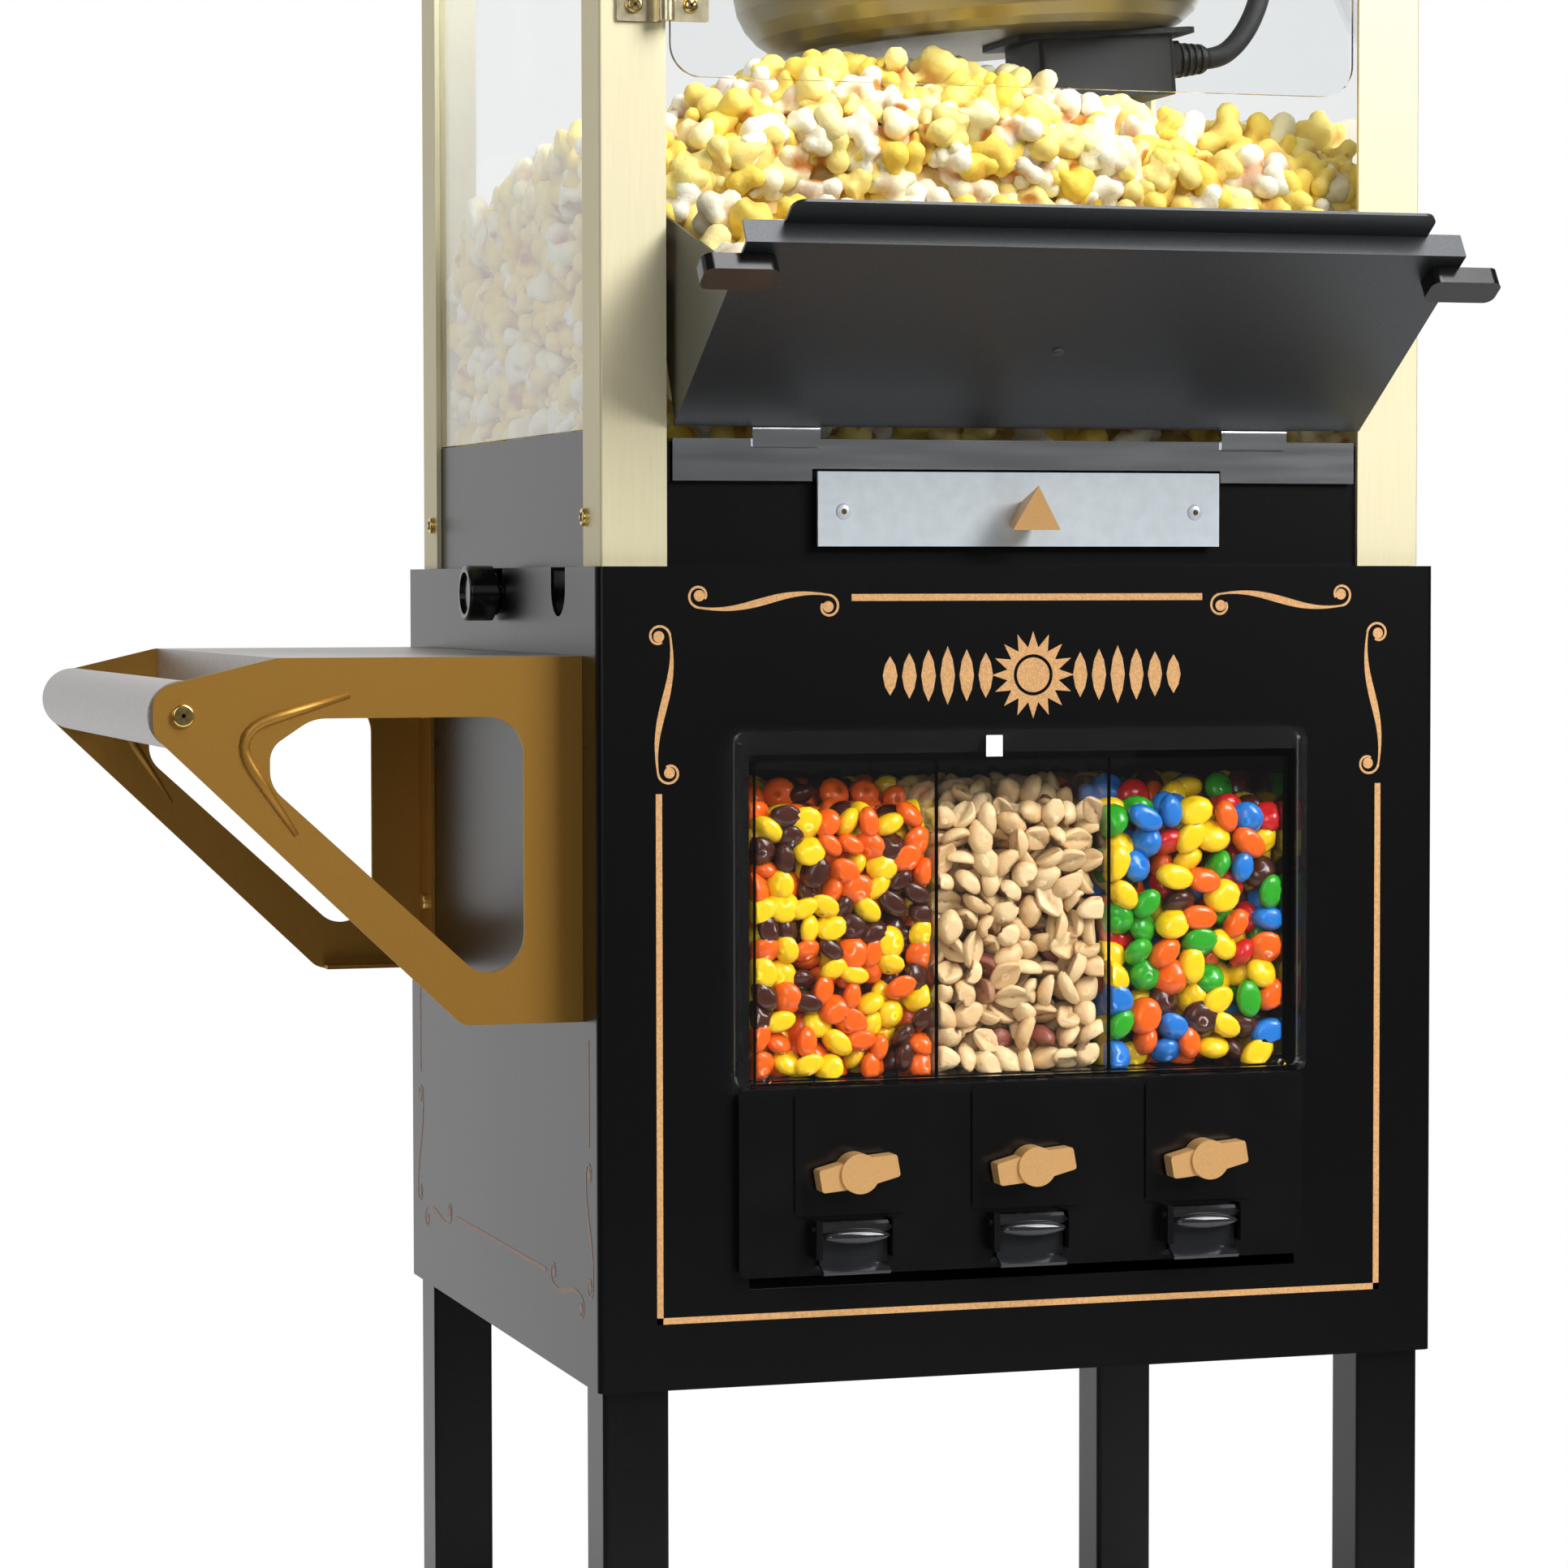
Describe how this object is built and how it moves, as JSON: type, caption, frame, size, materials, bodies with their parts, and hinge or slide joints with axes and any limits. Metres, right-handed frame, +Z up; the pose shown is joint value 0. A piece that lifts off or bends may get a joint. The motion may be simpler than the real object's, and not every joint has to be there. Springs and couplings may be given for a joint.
{
  "type": "popcorn maker",
  "caption": "Floor-standing popcorn cart: glazed popping box with tilt-out hatch and hanging kettle on a wheeled cabinet with a candy dispenser.",
  "frame": {"origin": "middle of the whole object's footprint box, at floor level", "axes": "+Z up, +X to the wheel side, +Y to the back; the hatch and candy dispenser face -Y"},
  "size_m": [0.6094, 0.4468, 1.346],
  "materials": {
    "black_paint": "satin powder coat",
    "gold_paint": "satin metallic paint",
    "grey_paint": "satin",
    "champagne": "satin anodised",
    "rubber_black": "matt",
    "tyre_black": "matt",
    "wheel_black": "satin",
    "zinc_steel": "galvanised",
    "polished": "polished",
    "brass": "bright",
    "hinge_brass": "satin champagne",
    "knob_black": "gloss",
    "knob_gold": "satin gold",
    "housing_black": "semi gloss",
    "flap_smoke": "gloss, smoked",
    "wheel_plastic": "matt",
    "clear_plastic": "clear",
    "glass": "clear",
    "kettle_metal": "satin champagne",
    "heat_plastic": "satin",
    "cord_black": "matt",
    "lamp_lens": "frosted"
  },
  "bodies": {
    "cart": {"cabinet_shell": "black_paint", "cabinet_back": "black_paint", "cabinet_floor": "black_paint", "lower_shelf": "black_paint", "legs_left": "black_paint", "legs_right": "black_paint", "machine_base": "black_paint", "roof_shell": "black_paint", "handle_bracket_front": "gold_paint", "handle_bracket_rear": "gold_paint", "side_shelf": "grey_paint", "handle_tube": "grey_paint", "front_posts": "champagne", "rear_posts": "champagne", "foot_caps": "rubber_black", "axle": "zinc_steel", "axle_caps": "zinc_steel", "sift_deck": "zinc_steel", "kettle_hanger": "zinc_steel", "ceiling_plate": "zinc_steel", "front_band": "polished", "hatch_hinges": "polished", "screws": "brass", "door_hinge_brackets": "hinge_brass", "dispenser_housing": "housing_black", "candy_bins": "clear_plastic", "side_glass": "glass", "rear_glass": "glass", "kettle_cord": "cord_black", "lamp": "lamp_lens"},
    "wheel_front_body": {"wheel_front": "wheel_black", "tyre_front": "tyre_black"},
    "wheel_rear_body": {"wheel_rear": "wheel_black", "tyre_rear": "tyre_black"},
    "clamp": {"clamp_knob": "knob_black"},
    "dispenser_left": {"dispense_knob_left": "knob_gold", "portion_wheel_left": "wheel_plastic"},
    "flap_left": {"chute_flap_left": "flap_smoke"},
    "dispenser_centre": {"dispense_knob_centre": "knob_gold", "portion_wheel_centre": "wheel_plastic"},
    "flap_centre": {"chute_flap_centre": "flap_smoke"},
    "dispenser_right": {"dispense_knob_right": "knob_gold", "portion_wheel_right": "wheel_plastic"},
    "flap_right": {"chute_flap_right": "flap_smoke"},
    "cover": {"window_cover": "clear_plastic"},
    "drawer": {"crumb_drawer": "zinc_steel", "drawer_knob": "knob_gold"},
    "hatch": {"hatch_panel": "black_paint", "hatch_grips": "housing_black"},
    "door": {"door_glass": "glass", "door_hinge_leaves": "hinge_brass", "door_handle": "polished"},
    "kettle": {"kettle_bowl": "kettle_metal", "gear_motor": "heat_plastic", "kettle_connector": "heat_plastic", "cord_plug": "heat_plastic"},
    "lid": {"kettle_lid": "kettle_metal"},
    "stirrer": {"stir_rod": "zinc_steel"},
    "rocker_light": {"switch_light": "housing_black"},
    "rocker_kettle": {"switch_kettle": "housing_black"}
  },
  "joints": [
    {"name": "wheel_front_spin", "type": "hinge", "parent": "cart", "child": "wheel_front_body", "pos_m": [0.17775, -0.13508, 0.127], "axis": [0, 1, 0], "continuous": true},
    {"name": "wheel_rear_spin", "type": "hinge", "parent": "cart", "child": "wheel_rear_body", "pos_m": [0.17775, 0.20442, 0.127], "axis": [0, 1, 0], "continuous": true},
    {"name": "clamp_turn", "type": "hinge", "parent": "cart", "child": "clamp", "pos_m": [-0.14745, 0.03242, 0.72], "axis": [-1, 0, 0], "continuous": true},
    {"name": "dispense_left", "type": "hinge", "parent": "cart", "child": "dispenser_left", "pos_m": [-0.04565, -0.12558, 0.504], "axis": [0, 1, 0], "continuous": true},
    {"name": "flap_lift_left", "type": "hinge", "parent": "cart", "child": "flap_left", "pos_m": [-0.04565, -0.13358, 0.483], "axis": [-1, 0, 0], "range_deg": [0, 55]},
    {"name": "dispense_centre", "type": "hinge", "parent": "cart", "child": "dispenser_centre", "pos_m": [0.02445, -0.12558, 0.504], "axis": [0, 1, 0], "continuous": true},
    {"name": "flap_lift_centre", "type": "hinge", "parent": "cart", "child": "flap_centre", "pos_m": [0.02445, -0.13358, 0.483], "axis": [-1, 0, 0], "range_deg": [0, 55]},
    {"name": "dispense_right", "type": "hinge", "parent": "cart", "child": "dispenser_right", "pos_m": [0.09455, -0.12558, 0.504], "axis": [0, 1, 0], "continuous": true},
    {"name": "flap_lift_right", "type": "hinge", "parent": "cart", "child": "flap_right", "pos_m": [0.09455, -0.13358, 0.483], "axis": [-1, 0, 0], "range_deg": [0, 55]},
    {"name": "cover_tilt", "type": "hinge", "parent": "cart", "child": "cover", "pos_m": [0.02355, -0.13158, 0.5365], "axis": [1, 0, 0], "range_deg": [0, 35]},
    {"name": "drawer_slide", "type": "slide", "parent": "cart", "child": "drawer", "axis": [0, -1, 0], "range_m": [0, 0.19]},
    {"name": "hatch_tilt", "type": "hinge", "parent": "cart", "child": "hatch", "pos_m": [0.02555, -0.12058, 0.781], "axis": [1, 0, 0], "range_deg": [-57.4, 0]},
    {"name": "door_swing", "type": "hinge", "parent": "cart", "child": "door", "pos_m": [-0.11545, -0.12678, 1.03], "axis": [0, 0, -1], "range_deg": [0, 110]},
    {"name": "kettle_tilt", "type": "hinge", "parent": "cart", "child": "kettle", "pos_m": [0.04355, -0.00358, 0.995], "axis": [0, -1, 0], "range_deg": [-4.5, 75]},
    {"name": "lid_lift", "type": "hinge", "parent": "kettle", "child": "lid", "pos_m": [0.04229, -0.02998, 1.01265], "axis": [0.9969, 0, 0.0785], "range_deg": [-85, 0]},
    {"name": "stir_spin", "type": "hinge", "parent": "kettle", "child": "stirrer", "pos_m": [0.04355, -0.00358, 0.995], "axis": [-0.0785, 0, 0.9969], "continuous": true},
    {"name": "rocker_light_press", "type": "hinge", "parent": "cart", "child": "rocker_light", "pos_m": [0.08955, 0.18062, 1.234], "axis": [1, 0, 0], "range_deg": [0, 10], "stiffness_Nm_per_rad": 0.05},
    {"name": "rocker_kettle_press", "type": "hinge", "parent": "cart", "child": "rocker_kettle", "pos_m": [0.11955, 0.18062, 1.234], "axis": [1, 0, 0], "range_deg": [0, 10], "stiffness_Nm_per_rad": 0.05}
  ]
}
